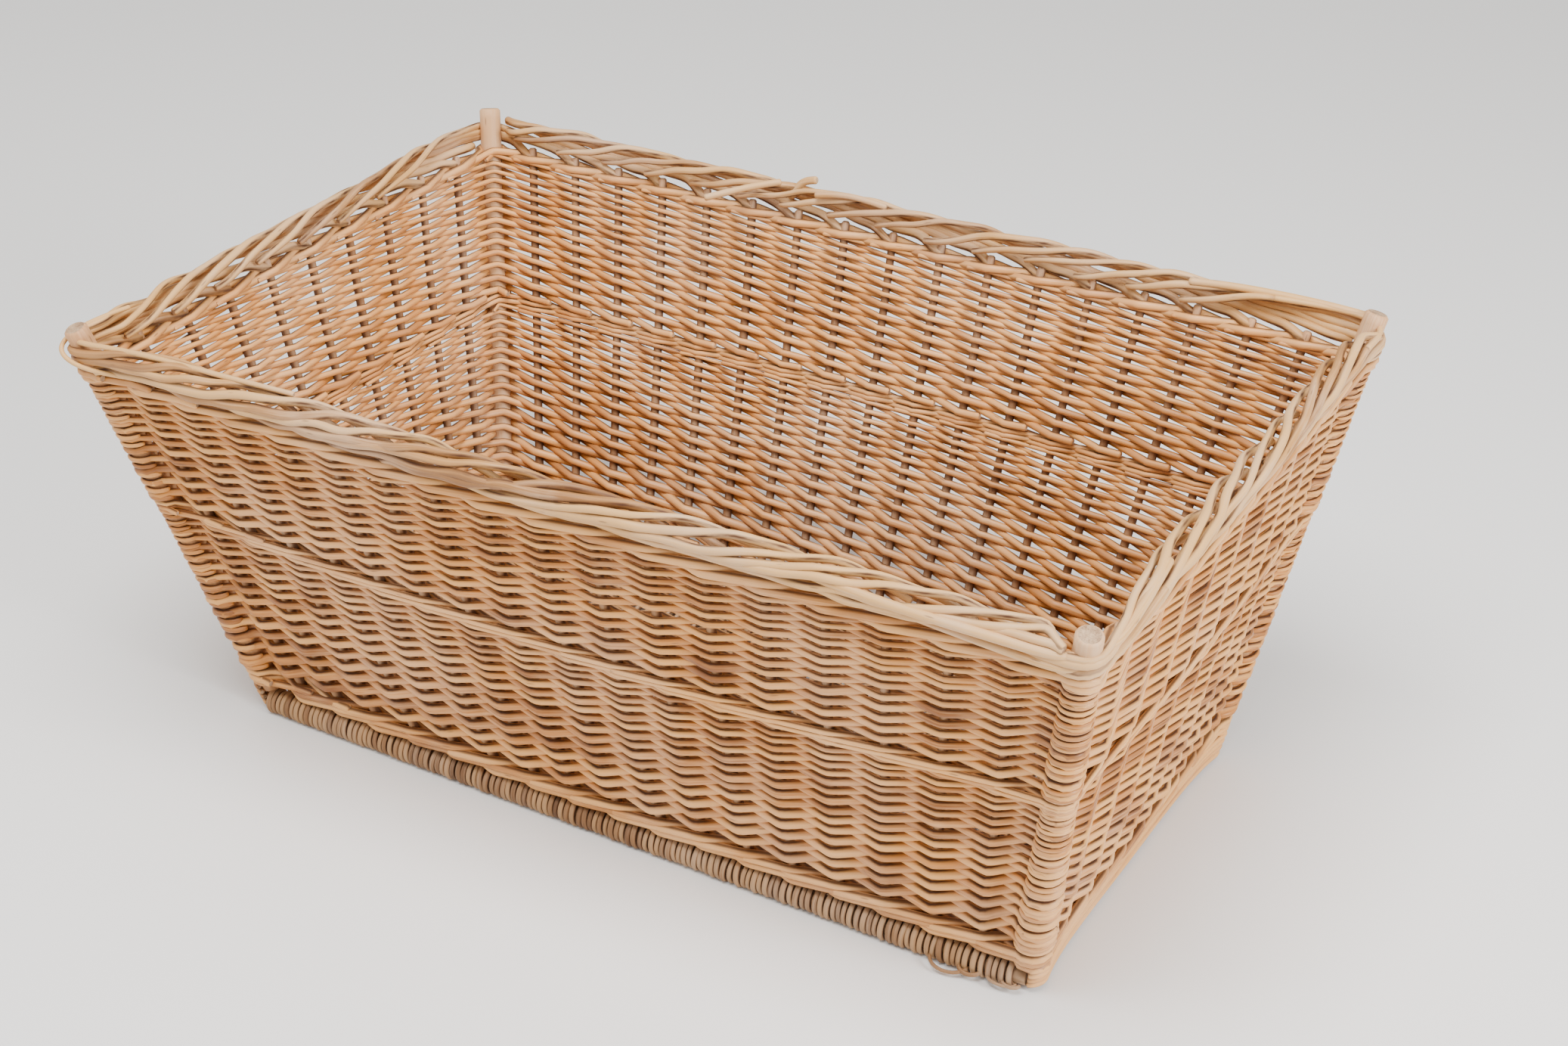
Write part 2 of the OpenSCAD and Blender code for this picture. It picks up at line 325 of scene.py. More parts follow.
# ---------------------------------------------------------------- finishes
class Shades:
    """A material being made: adds nodes and joins sockets or plain values to them."""

    def __init__(self, name):
        self.material = bpy.data.materials.new(name)
        self.material.use_nodes = True
        self.tree = self.material.node_tree
        self.shader = self.tree.nodes["Principled BSDF"]

    def feed(self, socket, value):
        """Joins value to a socket if it is a socket, and otherwise sets it there."""
        if isinstance(value, bpy.types.NodeSocket):
            self.tree.links.new(value, socket)
        elif isinstance(value, tuple) and len(value) == 3 and socket.type == "RGBA":
            socket.default_value = (*value, 1)
        else:
            socket.default_value = value

    def attribute(self, title):
        """One of the values that a mesh of rods carries."""
        node = self.tree.nodes.new("ShaderNodeAttribute")
        node.attribute_name = title
        return node.outputs["Vector" if title == "grain" else "Fac"]

    def place(self):
        """Object coordinates."""
        return self.tree.nodes.new("ShaderNodeTexCoord").outputs["Object"]

    def stretched(self, vector, scale):
        """vector times a scale along each of its axes."""
        node = self.tree.nodes.new("ShaderNodeMapping")
        node.inputs["Scale"].default_value = scale
        self.feed(node.inputs["Vector"], vector)
        return node.outputs["Vector"]

    def noise(self, vector, scale=1.0, detail=3.0, roughness=0.55):
        """Cloudy values from 0 to 1."""
        node = self.tree.nodes.new("ShaderNodeTexNoise")
        self.feed(node.inputs["Vector"], vector)
        node.inputs["Scale"].default_value = scale
        node.inputs["Detail"].default_value = detail
        node.inputs["Roughness"].default_value = roughness
        return node.outputs["Fac"]

    def cells(self, vector):
        """Distance to the nearest of scattered points."""
        node = self.tree.nodes.new("ShaderNodeTexVoronoi")
        node.inputs["Scale"].default_value = 1.0
        self.feed(node.inputs["Vector"], vector)
        return node.outputs["Distance"]

    def maths(self, operation, *values):
        """One sum, such as the first value times the second plus the third."""
        node = self.tree.nodes.new("ShaderNodeMath")
        node.operation = operation
        for socket, value in zip(node.inputs, values):
            self.feed(socket, value)
        return node.outputs[0]

    def step(self, value, low, high):
        """0 where value is below low, 1 where it is above high, and smooth between."""
        node = self.tree.nodes.new("ShaderNodeMapRange")
        node.interpolation_type = "SMOOTHSTEP"
        self.feed(node.inputs["Value"], value)
        node.inputs["From Min"].default_value = low
        node.inputs["From Max"].default_value = high
        return node.outputs["Result"]

    def mixed(self, share, first, second):
        """The first colour where share is 0 and the second where it is 1."""
        node = self.tree.nodes.new("ShaderNodeMix")
        node.data_type = "RGBA"
        for number, value in ((0, share), (6, first), (7, second)):
            self.feed(node.inputs[number], value)
        return node.outputs[2]

    def ramp(self, value, *stops):
        """Colours by value, from (place, colour) stops."""
        node = self.tree.nodes.new("ShaderNodeValToRGB")
        elements = node.color_ramp.elements
        while len(elements) < len(stops):
            elements.new(0.5)
        for element, (place, colour) in zip(elements, stops):
            element.position = place
            element.color = (*colour, 1)
        self.feed(node.inputs["Fac"], value)
        return node.outputs["Color"]

    def bump(self, height, strength, depth):
        """Skin that rises by depth metres where height goes from 0 to 1."""
        node = self.tree.nodes.new("ShaderNodeBump")
        node.inputs["Strength"].default_value = strength
        node.inputs["Distance"].default_value = depth
        self.feed(node.inputs["Height"], height)
        return node.outputs["Normal"]


KNOT = (0.13, 0.06, 0.025)
# dark brown for dirt and painted shade in the hollows between rods
SHADE_AND_DIRT = (0.075, 0.026, 0.009)


def willow(name, dark, middle, light, inside, worn, wear, shade_and_grime, rough):
    """Peeled willow. Each rod runs from dark to light by its own tone, with fine streaks along
    it, slow changes of colour, knots, a pinker skin on the wall's inner side, patches worn
    pale and grey, and dirt with painted shade in the hollows between rods."""
    shades = Shades(name)
    grain = shades.attribute("grain")
    streak = shades.noise(shades.stretched(grain, (16, 620, 620)), detail=4.0, roughness=0.65)
    slow = shades.noise(shades.stretched(grain, (11, 70, 70)), detail=2.0)
    patch = shades.noise(shades.place(), scale=7.0, detail=4.0, roughness=0.6)
    knots = shades.cells(shades.stretched(grain, (24, 150, 150)))

    tone = shades.maths("MULTIPLY_ADD", shades.attribute("tone"), 0.75, -0.49)
    tone = shades.maths("MULTIPLY_ADD", slow, 0.6, tone)
    tone = shades.maths("MULTIPLY_ADD", streak, 0.55, tone)
    tone = shades.maths("MULTIPLY_ADD", patch, 0.45, tone)
    colour = shades.ramp(tone, (0.22, dark), (0.5, middle), (0.78, light))
    blush = shades.maths("MULTIPLY_ADD", shades.attribute("outer"), -0.45, 0.45)
    colour = shades.mixed(blush, colour, inside)
    rub = shades.step(shades.maths("MULTIPLY_ADD", streak, 0.5, patch), 0.66, 0.92)
    colour = shades.mixed(shades.maths("MULTIPLY", rub, wear), colour, worn)
    spot = shades.maths("SUBTRACT", 1.0, shades.step(knots, 0.05, 0.13))
    colour = shades.mixed(shades.maths("MULTIPLY", spot, 0.55), colour, KNOT)
    # dirt and painted shade: skin that faces other rods across a gape, and stakes between the weavers,
    # are darkened towards the dark brown
    shade = shades.maths("MULTIPLY_ADD", streak, 0.25, shades.attribute("hollow_shade_and_dirt"))
    shade = shades.step(shade, 0.40, 1.02)
    colour = shades.mixed(shades.maths("MULTIPLY", shade, shade_and_grime), colour, SHADE_AND_DIRT)
    shades.feed(shades.shader.inputs["Base Color"], colour)

    gloss = shades.maths("MULTIPLY_ADD", streak, 0.3, rough - 0.15)
    gloss = shades.maths("MULTIPLY_ADD", shade, 0.25, gloss)
    shades.feed(shades.shader.inputs["Roughness"], gloss)
    shades.shader.inputs["Specular IOR Level"].default_value = 0.4
    relief = shades.maths("MULTIPLY_ADD", spot, -0.5, streak)
    shades.feed(shades.shader.inputs["Normal"], shades.bump(relief, 0.4, 0.45 * MM))
    return shades.material


def cut_willow(name, pith, wood):
    """The cut end of a rod or post: pale speckled wood, darker with dirt."""
    shades = Shades(name)
    speckle = shades.noise(shades.place(), scale=800.0, detail=4.0)
    cloud = shades.noise(shades.place(), scale=90.0, detail=2.0)
    mottle = shades.maths("MULTIPLY_ADD", speckle, 0.5, shades.maths("MULTIPLY", cloud, 0.5))
    shades.feed(shades.shader.inputs["Base Color"], shades.ramp(mottle, (0.36, pith), (0.62, wood)))
    shades.feed(shades.shader.inputs["Normal"], shades.bump(mottle, 0.6, 0.4 * MM))
    shades.shader.inputs["Roughness"].default_value = 0.8
    return shades.material


WEAVE_SKIN = willow(
    "honey_willow", dark=(0.23, 0.076, 0.013), middle=(0.49, 0.188, 0.034), light=(0.70, 0.335, 0.09),
    inside=(0.68, 0.315, 0.115), worn=(0.70, 0.41, 0.21), wear=0.5, shade_and_grime=1.0, rough=0.42)
WALE_SKIN = willow(
    "wale_willow", dark=(0.28, 0.10, 0.022), middle=(0.52, 0.215, 0.048), light=(0.72, 0.36, 0.11),
    inside=(0.66, 0.29, 0.105), worn=(0.70, 0.42, 0.22), wear=0.4, shade_and_grime=0.85, rough=0.42)
BORDER_SKIN = willow(
    "weathered_willow", dark=(0.22, 0.09, 0.024), middle=(0.44, 0.21, 0.060), light=(0.62, 0.35, 0.125),
    inside=(0.50, 0.26, 0.11), worn=(0.60, 0.41, 0.27), wear=0.5, shade_and_grime=1.0, rough=0.5)
STAKE_SKIN = willow(
    "stake_willow", dark=(0.24, 0.105, 0.035), middle=(0.44, 0.21, 0.085), light=(0.60, 0.33, 0.15),
    inside=(0.50, 0.27, 0.13), worn=(0.62, 0.44, 0.29), wear=0.5, shade_and_grime=0.85, rough=0.55)
BASE_SKIN = willow(
    "dusty_willow", dark=(0.10, 0.042, 0.014), middle=(0.22, 0.105, 0.038), light=(0.36, 0.20, 0.085),
    inside=(0.30, 0.15, 0.065), worn=(0.40, 0.27, 0.17), wear=0.6, shade_and_grime=0.9, rough=0.6)
CUT_END = cut_willow("cut_end", (0.20, 0.105, 0.05), (0.50, 0.33, 0.19))


# ---------------------------------------------------------------- the woven bands
def band_heights(kind):
    """Lowest and highest level of a band on each side's middle plane. A slab's edges are
    square to the leaning wall, so the middle plane's are half way between its faces'."""
    lows, highs = [], []
    for side, name in enumerate(SIDES):
        points = node_points(f"{kind}_{name}")
        out = (points - POST_FEET[side]) @ SIDE_NORMALS[side]
        face = points[out > out.max() - FLAT]
        back = points[out < out.min() + FLAT]
        lows.append((face[:, 2].min() + back[:, 2].min()) / 2)
        highs.append((face[:, 2].max() + back[:, 2].max()) / 2)
    return np.array(lows), np.array(highs)


# the stoutest weaver's radius, and how full the weavers fill their rows
BUTT_R = 4.1 * MM
FULL = 1.14
# how far the weave runs past its CAD node, in under the wale below it and the wale above it
UNDER_LOW_WALE = 0.5 * MM
UNDER_HIGH_WALE = 4.0 * MM


class Band:
    """A randed band: how high a weaver is after m uprights. Each upright climbs half the
    spacing of the rows, which falls evenly from first to last over the count of uprights.
    Four radii fill one spacing, so that the weavers lie one on another."""

    def __init__(self, kind, rows, narrowing):
        lows, highs = band_heights(kind)
        self.low = lows.mean() - UNDER_LOW_WALE
        self.high = highs.mean() + UNDER_HIGH_WALE
        self.count = 2 * rows
        self.first = 4 * (self.high - self.low) / self.count / (1 + narrowing)
        self.last = self.first * narrowing

    def height(self, m):
        """How high a weaver is after m uprights."""
        m = np.clip(m, 0, self.count)
        return self.low + (self.first * m + (self.last - self.first) * m ** 2 / (2 * self.count)) / 2

    def radius(self, m):
        """A weaver's radius after m uprights: a share of the spacing there, up to BUTT_R."""
        share = np.clip(m / self.count, 0, 1)
        return np.minimum(FULL / 4 * (self.first + (self.last - self.first) * share), BUTT_R)


LOWER = Band("lower_weave", 15, 0.44)
UPPER = Band("upper_weave", 13, 0.58)


def outer_side(n):
    """0 on the wall's inner side and 1 on its outer side, with an even change within 4 mm."""
    return 0.5 + 0.5 * np.clip(n / (4 * MM), -1, 1)


def off_middle(n):
    """0 in the wall's middle plane, and 1 from 7 mm out on either side of it."""
    return np.clip(np.abs(n) / (7 * MM), 0, 1)


# how far a weaver starts before its first upright and runs past its last, in uprights
LEAD_IN = 0.42
RUN_OUT = 0.38
# rows are beaten down harder in some places than in others: the most that a weaver moves, the
# uprights from one such place to the next, and how far the places lean, in radians a metre
BEATEN = 1.6 * MM
BEATEN_APART = 13.0
BEATEN_LEAN = 21


def randing(band, side, seed):
    """The weavers of a randed band that start on one side. Each starts behind its own upright
    and passes in front of the next and behind the one after, n = -+ the reach from the
    wall's middle, and climbs half a spacing at each."""
    random = generator(seed)
    starts = np.arange(POST_AT[side], POST_AT[side + 1])[:, None]
    rods = len(starts)
    m = np.arange(band.count + 1.0)
    m = np.concatenate([[-LEAD_IN], m, [band.count + RUN_OUT]])[None]
    way = np.where(np.round(m) % 2, 1.0, -1.0)
    t = starts + m
    r = band.radius(m) * random.uniform(0.92, 1.12, (rods, 1)) * (1 + wander(random, rods, m, 0.06))
    z = band.height(m) + wander(random, rods, m, 0.9 * MM) + random.normal(0, 0.35 * MM, t.shape)
    share = np.clip(m / band.count, 0, 1)
    z = z + BEATEN * np.sin(TAU * t / BEATEN_APART + z * BEATEN_LEAN) * np.sin(np.pi * share)
    n = way * (upright_r(np.round(t), z) + r) * PULL
    path, t, n, r = woven(t, z, n, r)
    normal = wall_normal(t)
    tones = random.uniform(0, 1, (rods, 1))
    gape = 0.5 + 0.5 * off_middle(n)
    return rods_of(path, r, normal, tones, outer_side(n), 1.0, normal, gape=gape)


# how full the wale rods fill their course, how far they run past the first and last upright,
# and how far above or below the course's middle they pass, in radii
WALE_FULL = 1.12
WALE_TAIL = 0.4
WALE_CLIMB = 0.95


def waling(low, high, courses, seed):
    """Three rods that go round together and start an upright apart. Each goes behind one
    upright, then in front of two, where it climbs past the rod before it: the height is
    the course's middle, a radius below it, and a radius above it by turns."""
    random = generator(seed)
    start = np.arange(3)[:, None]
    m = np.arange(ROUND * courses + 1.0)
    m = np.concatenate([[-WALE_TAIL], m, [ROUND * courses + WALE_TAIL]])[None]
    t = start + m
    course = (high - low) / courses
    r = course / 4 * WALE_FULL * random.uniform(0.93, 1.05, (3, 1)) * (1 + wander(random, 3, m, 0.08))
    turn = np.round(m).astype(int) % 3
    climb = np.array([0, -WALE_CLIMB, WALE_CLIMB])[turn] * r
    z = low + course / 2 + (course * (courses - 1) * np.clip(m / (ROUND * courses), 0, 1)) + climb
    z = z + wander(random, 3, m, 0.8 * MM)
    n = np.array([-1, 1, 1])[turn] * (upright_r(np.round(t), z) + r) * PULL
    path, t, n, r = woven(t, z, n, r)
    normal = wall_normal(t)
    tones = np.clip(random.uniform(0.2, 0.8, (3, 1)) + wander(random, 3, t, 0.6, (0.04, 0.1, 0.23)), 0, 1)
    return rods_of(path, r, normal, tones, outer_side(n), 0.6 + 0.4 * off_middle(n), normal)


# the rods below the wale of a short side: how many, how far they run up behind the wale, how
# much stouter and closer they are than would just fill the space, how far they turn in round
# a post in degrees, and how far in they lie between the posts
END_STRANDS = 4
END_RISE = 4 * MM
END_STOUT = 1.02
END_CLOSE = 0.98
END_TURN = 68
END_DIP = 6 * MM


def end_strands(side, low, high, seed):
    """The rods that close the wall of a short side below the wale, one above another, and
    turn in round both posts: a straight run with a quarter circle at each end."""
    random = generator(seed)
    r = (high - low + END_RISE) / END_STRANDS / 2 * END_STOUT
    z = low + r + 2 * r * END_CLOSE * np.arange(END_STRANDS)[:, None]
    posts = side, (side + 1) % 4
    reach = POST_R + r
    turn = np.radians(np.linspace(-END_TURN, 0, 9))[None, :, None]
    flat = [unit(SIDE_NORMALS[s] * [1, 1, 0]) for s in (side, (side + 2) % 4)]
    along = np.cross(UP, flat[0])
    hooks = []
    for post, way in zip(posts, (1, -1)):
        spoke = np.cos(turn) * flat[0] + way * np.sin(turn) * along
        hooks.append(post_axis(post, z)[:, :1] + spoke * reach)
    start, end = hooks[0], hooks[1][:, ::-1]
    share = np.linspace(0, 1, 40)[None, 1:-1, None]
    middle = start[:, -1:] * (1 - share) + end[:, :1] * share
    # between the posts the strands lie in against the stakes
    middle = middle - flat[0] * (1 - (2 * share - 1) ** 6) * END_DIP
    path = np.concatenate([start, middle, end], axis=1)
    drift = wander(random, END_STRANDS, np.linspace(0, 6, path.shape[1])[None], 0.5 * MM)
    path[..., 2] += drift
    refs = np.broadcast_to(UP, path.shape)
    out = np.broadcast_to(flat[0], path.shape)
    return rods_of(path, r, refs, random.uniform(0.2, 0.9, (END_STRANDS, 1)), 0.9, 0.95, out)


# a post has a turn of the weave for every so many uprights that a weaver climbs
TURN_STEP = 1.4
# how far a turn goes round its post either way from the diagonal, in degrees
TURN_REACH = 118


def corner_turns(post, seed):
    """The turns of the weave round the outside of a post, level with the weavers that pass
    inside it: an arc of angle a either way from the diagonal, climbing a little."""
    random = generator(seed)
    diagonal = unit((SIDE_NORMALS[post - 1] + SIDE_NORMALS[post]) * [1, 1, 0])
    along = np.cross(UP, diagonal)
    bundles = []
    for band in (LOWER, UPPER):
        m = np.arange(0, band.count + 1, TURN_STEP)[:, None]
        rods = len(m)
        angle = np.radians(np.linspace(-TURN_REACH, TURN_REACH, 25))[None]
        r = band.radius(m) * TURN_STEP / 2 * random.uniform(0.95, 1.08, (rods, 1)) + 0 * angle
        z = band.height(m) + angle / TAU * band.first * 0.5 + random.normal(0, 0.3 * MM, (rods, 1))
        spoke = np.cos(angle)[..., None] * diagonal + np.sin(angle)[..., None] * along
        path = post_axis(post, z) + spoke * (POST_R + r)[..., None]
        tones = random.uniform(0, 0.7, (rods, 1))
        bundles.append(rods_of(path, r, spoke, tones, 0.9, 1.0, spoke))
    return bundles


wale_spans = {kind: band_heights(kind) for kind in ("bottom_wale", "middle_wale", "top_wale")}
WALE_LOW = wale_spans["bottom_wale"][0][[0, 2]].mean()
for number, side_name in enumerate(SIDES):
    made = randing(LOWER, number, 10 + number)
    make_piece(f"lower_weavers_{side_name}", [made], WEAVE_SKIN, "weavers", f"lower_weave_{side_name}")
    made = randing(UPPER, number, 20 + number)
    make_piece(f"upper_weavers_{side_name}", [made], WEAVE_SKIN, "weavers", f"upper_weave_{side_name}")
for number, corner in enumerate(CORNERS):
    made = corner_turns(number, 60 + number)
    make_piece(f"corner_turns_{corner}", made, WEAVE_SKIN, "weavers", f"corner_wraps_{corner}")
bundles = [waling(WALE_LOW, wale_spans["bottom_wale"][1].mean(), 2, 31)]
for number in (1, 3):
    floor_gap = wale_spans["bottom_wale"][0][number]
    bundles.append(end_strands(number, floor_gap, WALE_LOW, 34 + number))
make_piece("bottom_wale_rods", bundles, WALE_SKIN, "wale", *["bottom_wale_" + name for name in SIDES])
for kind, courses, seed in (("middle_wale", 2, 32), ("top_wale", 1, 33)):
    low, high = wale_spans[kind]
    made = waling(low.mean(), high.mean(), courses, seed)
    make_piece(f"{kind}_rods", [made], WALE_SKIN, "wale", *[f"{kind}_{name}" for name in SIDES])


# ---------------------------------------------------------------- uprights
BAND_TOP = wale_spans["top_wale"][1].mean()


def stakes(side, seed):
    """The stakes of one side, straight up the bowed wall with a slight waver."""
    random = generator(seed)
    t = np.arange(POST_AT[side] + 1.0, POST_AT[side + 1])[:, None]
    rods = len(t)
    foot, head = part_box("stakes_" + SIDES[side])
    z = np.linspace(foot.z + 1.5 * MM, head.z - 8 * MM, 36)[None]
    t, z = np.broadcast_arrays(t, z)
    r = upright_r(t, z) * random.uniform(0.95, 1.03, (rods, 1))
    n = wander(random, rods, z / BASKET_H * 6, 0.4 * MM)
    normal = wall_normal(t)
    tones = random.uniform(0, 0.7, (rods, 1))
    # between the weavers a stake is darkened with dirt and painted shade
    proud = np.where(z > BAND_TOP, 0.8, 0.45)
    made = rods_of(wall_point(t, z, n), r, normal, tones, 0.4, proud, normal, 10)
    make_piece(f"stake_rods_{SIDES[side]}", [made], STAKE_SKIN, "stakes", "stakes_" + SIDES[side])


def post_stick(post, seed):
    """A corner post: a stout stick, a little uneven, with its top edge rounded by wear."""
    random = generator(seed)
    z = np.linspace(FOOT_Z, BASKET_H - 2.2 * MM, 60)[None]
    r = POST_R * (1 + wander(random, 1, z * 20, 0.03))
    path = post_axis(post, z)
    refs = np.broadcast_to(unit(SIDE_NORMALS[post] * [1, 1, 0]), path.shape)
    made = rods_of(path, r, refs, random.uniform(0.3, 0.8), 0.6, 0.8, None, 24, 0.2)
    make_piece(f"post_stick_{CORNERS[post]}", [made], STAKE_SKIN, "posts", "post_" + CORNERS[post])


for number in range(4):
    stakes(number, 40 + number)
    post_stick(number, 50 + number)


# ---------------------------------------------------------------- border
border_low, border_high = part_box("border_front")
BORDER_R = (border_high.z - border_low.z) / 2
BORDER_Z = (border_high.z + border_low.z) / 2
STRAND_R = 4.1 * MM
# a strand's angle round the border in degrees, after a run of so many uprights
STRAND_RUN = (0, 0.35, 1.1, 3.6, 4.9, 6.3)
STRAND_TURN = (-100, -74, -38, 40, 128, 232)
LONGEST_RUN = STRAND_RUN[-1]
# a strand that runs further than this is over the top, and must end this far before a post
OVER_TOP = 3.8
SHORT_OF_POST = 0.32
# a strand comes from its stake into the ring over this much of its run
INTO_RING = 0.45
# millimetres from one upright to the next, and how high a strand may pass a post
UPRIGHT_SPACE = 46
PAST_POST = 9 * MM


def border(side, seed):
    """The roped border of one side. Each stake bends over to the right and becomes a strand:
    out and up the outside slowly, then quickly over the top and down the inside. Its place
    is the border's middle + ring (cos turn outwards, sin turn upwards). A strand goes round
    a post on the outside, and ends short of a post that it would meet over the top."""
    random = generator(seed)
    first, last = POST_AT[side], POST_AT[side + 1]
    starts = np.arange(first, last)[:, None]
    rods = len(starts)
    begin = np.where(starts == first, STRAND_RUN[1], 0)
    left = last - starts
    end = np.where(left > OVER_TOP, np.minimum(left - SHORT_OF_POST, LONGEST_RUN), LONGEST_RUN)
    run = begin + (end - begin) * np.linspace(0, 1, 66)[None]
    turn = np.interp(run, STRAND_RUN, STRAND_TURN)
    turn = np.radians(eased(turn[..., None], 6)[..., 0] + random.normal(0, 7, (rods, 1)))
    ring = BORDER_R - STRAND_R
    rope = np.clip(run / INTO_RING, 0, 1)
    rope = rope * rope * (3 - 2 * rope)
    dn = ring * np.cos(turn) * rope + wander(random, rods, run, 2.0 * MM, (0.2, 0.45, 0.9))
    dz = ring * np.sin(turn) * rope - (BORDER_R + 4 * MM) * (1 - rope)
    dz = dz + wander(random, rods, run, 2.6 * MM, (0.2, 0.45, 0.9))
    t = starts + run
    r = STRAND_R * (1.07 - 0.05 * run) * random.uniform(0.84, 1.1, (rods, 1))
    z = BORDER_Z + dz
    _, offset = post_offset(t)
    gap = np.abs(offset) * UPRIGHT_SPACE * MM
    need = (POST_R + r) * np.sqrt(np.clip(1 - (gap / (1.8 * (POST_R + r))) ** 2, 0, 1))
    n = np.maximum(dn, need - BORDER_R * (need == 0))
    z = np.where(need > 0, np.minimum(z, BORDER_Z + PAST_POST), z)
    path = eased(wall_point(t, z, n), 3)
    normal = wall_normal(t)
    out = unit(normal * np.cos(turn)[..., None] + UP * np.sin(turn)[..., None])
    refs = unit(normal + 0.3 * UP)
    tones = random.uniform(0, 1, (rods, 1))
    made = rods_of(path, r, refs, tones, 0.8, 1.0, out, 10)
    make_piece(f"border_strands_{SIDES[side]}", [made], BORDER_SKIN, "border", "border_" + SIDES[side])


def loose_rods(name, rods, skin, slot):
    """Rods that stand out of the pattern. Each is given by its radius, its tone and a few
    places (t, z, n), which a smooth curve is drawn through."""
    bundles = []
    for radius, tone, places in rods:
        places = np.array(places)
        path = wall_point(places[:, 0], places[:, 1], places[:, 2])[None]
        for _ in range(4):
            halves = np.empty((1, 2 * path.shape[1] - 1, 3))
            halves[:, ::2] = path
            halves[:, 1::2] = (path[:, :-1] + path[:, 1:]) / 2
            path = eased(halves)
        refs = np.broadcast_to(unit(np.array([0.31, 0.87, 0.39])), path.shape)
        bundles.append(rods_of(path, radius, refs, tone, 0.9, 1.0, None, 10))
    make_piece(name, bundles, skin, slot)


for number in range(4):
    border(number, 70 + number)

FRONT_RIGHT, BACK_RIGHT = POST_AT[1], POST_AT[2]
TOP = BORDER_Z + BORDER_R
# broken stake ends and rods that have worked loose along the border and at the corners
loose_rods("loose_border_rods", [
    # a broken stake that hangs into the basket from the back border, and its stump
    (3.2 * MM, 0.9, [
        (39.4, TOP - 3 * MM, -4 * MM), (39.8, TOP - 9 * MM, -18 * MM), (40.5, TOP - 24 * MM, -44 * MM)]),
    (3.6 * MM, 0.7, [(39.2, BORDER_Z, 2 * MM), (39.0, TOP + 2 * MM, 1 * MM), (38.7, TOP + 5 * MM, 0)]),
    (3.0 * MM, 0.4, [
        (37.2, TOP - 4 * MM, -3 * MM), (37.9, TOP + 1 * MM, -9 * MM), (38.5, TOP - 5 * MM, -16 * MM)]),
    # a thin rod that loops out round the front left post below its top
    (2.0 * MM, 0.8, [
        (-1.0, TOP - 2 * MM, -4 * MM), (-0.35, TOP - 1 * MM, 10 * MM), (0, TOP - 6 * MM, 24 * MM),
        (0.25, TOP - 20 * MM, 20 * MM), (0.9, TOP - 25 * MM, 9 * MM)]),
    (2.3 * MM, 0.9, [
        (-0.9, TOP - 9 * MM, 12 * MM), (-0.1, TOP - 4 * MM, 15 * MM), (0.3, TOP - 3 * MM, 9 * MM),
        (1.2, TOP - 2 * MM, 1 * MM), (3.1, TOP - 1 * MM, -2 * MM), (4.4, TOP - 4 * MM, -9 * MM)]),
    # two stout rods that turn the front right corner below the top of the post
    (3.7 * MM, 0.7, [
        (FRONT_RIGHT - 4.2, BORDER_Z + 3 * MM, 5 * MM), (FRONT_RIGHT - 3.0, BORDER_Z + 3 * MM, 12 * MM),
        (FRONT_RIGHT - 1.0, BORDER_Z + 4 * MM, 14 * MM),
        (FRONT_RIGHT, BORDER_Z + 3 * MM, 18 * MM), (FRONT_RIGHT + 0.9, BORDER_Z + 6 * MM, 12 * MM),
        (FRONT_RIGHT + 2.2, TOP - 4 * MM, 3 * MM)]),
    (3.6 * MM, 0.5, [
        (FRONT_RIGHT - 2.6, BORDER_Z - 6 * MM, 6 * MM), (FRONT_RIGHT - 0.7, BORDER_Z - 6 * MM, 15 * MM),
        (FRONT_RIGHT, BORDER_Z - 6 * MM, 19 * MM), (FRONT_RIGHT + 0.8, BORDER_Z - 4 * MM, 14 * MM),
        (FRONT_RIGHT + 1.8, BORDER_Z + 1 * MM, 11 * MM)]),
    # rods that cross on top beside the back right post
    (2.6 * MM, 0.9, [
        (BACK_RIGHT - 0.8, TOP - 5 * MM, 10 * MM), (BACK_RIGHT - 0.1, TOP - 3 * MM, 15 * MM),
        (BACK_RIGHT + 0.5, TOP - 1 * MM, 5 * MM), (BACK_RIGHT + 1.7, TOP - 3 * MM, -8 * MM)]),
    (3.4 * MM, 0.9, [
        (BACK_RIGHT + 0.25, TOP - 2 * MM, 6 * MM), (BACK_RIGHT + 0.9, TOP, 1 * MM),
        (BACK_RIGHT + 2.4, TOP - 1 * MM, -4 * MM), (BACK_RIGHT + 3.2, TOP - 5 * MM, -10 * MM)]),
], BORDER_SKIN, "border")


# ---------------------------------------------------------------- base
INNER_STICKS = 6
# how far the mat and its sticks are pushed in under the weave of the short sides
TUCK = 7 * MM
# the most rods that a roll may need, and how far apart they are: now and then a wide gap
ROLL_RODS = 200
WIDE_SHARE = 0.2
WIDE_GAP = 1.3 * MM
THIN_GAP = 0.15 * MM
# frayed ends: distance from the roll's right end, half width, reach and radius, in millimetres
FRAYED = ((62, 16, 11, 1.5), (44, 9, 7, 1.8), (17, 12, 6, 1.3), (9, 7, 5, 1.6))


def roll_place(name):
    """Ends, distance from the middle, height and radius of a wrapped roll, and its stick's
    radius. The underside is worn flat, so the height comes from the top."""
    low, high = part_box("base_roll_" + name)
    stick_low, stick_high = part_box("base_edge_stick_" + name)
    radius = (high.y - low.y) / 2
    return low.x, high.x, (low.y + high.y) / 2, high.z - radius, radius, (stick_high.z - stick_low.z) / 2


